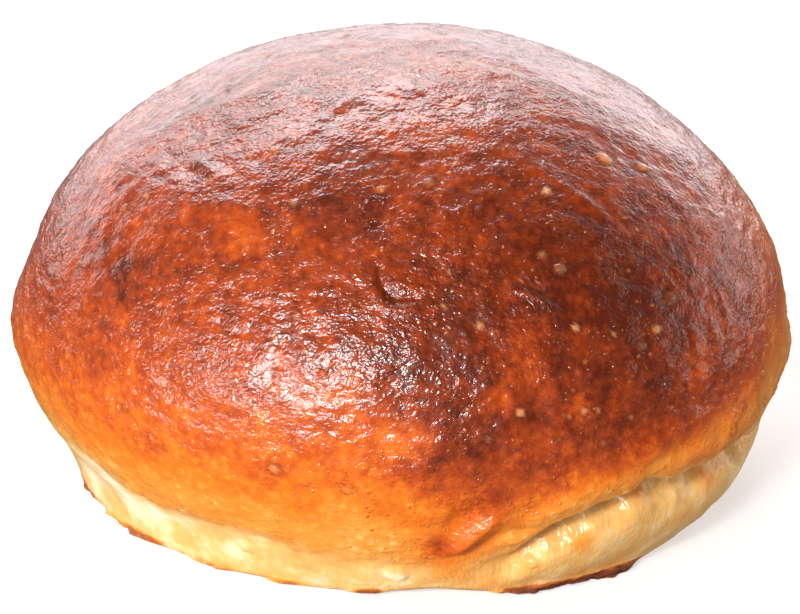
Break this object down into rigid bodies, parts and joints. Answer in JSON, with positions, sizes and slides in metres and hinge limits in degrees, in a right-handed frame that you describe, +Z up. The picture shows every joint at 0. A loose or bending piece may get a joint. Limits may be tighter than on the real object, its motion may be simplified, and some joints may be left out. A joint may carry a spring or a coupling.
{
  "type": "burger bun",
  "caption": "Whole round glazed burger bun with a tall domed brown crust, a folded crease and paler torn side low down, and a flat baked underside to rest on.",
  "frame": {"origin": "middle of the flat underside, on the surface that the bun stands on", "axes": "+Z up through the crown, -Y towards the front with the crease, +X to the right seen from the front"},
  "size_m": [0.1062, 0.1046, 0.059],
  "materials": {
    "crust": "egg-glazed baked crust, glossy on the crown and matt on the pale side"
  },
  "bodies": {
    "root": {"bun": "crust"}
  },
  "joints": []
}
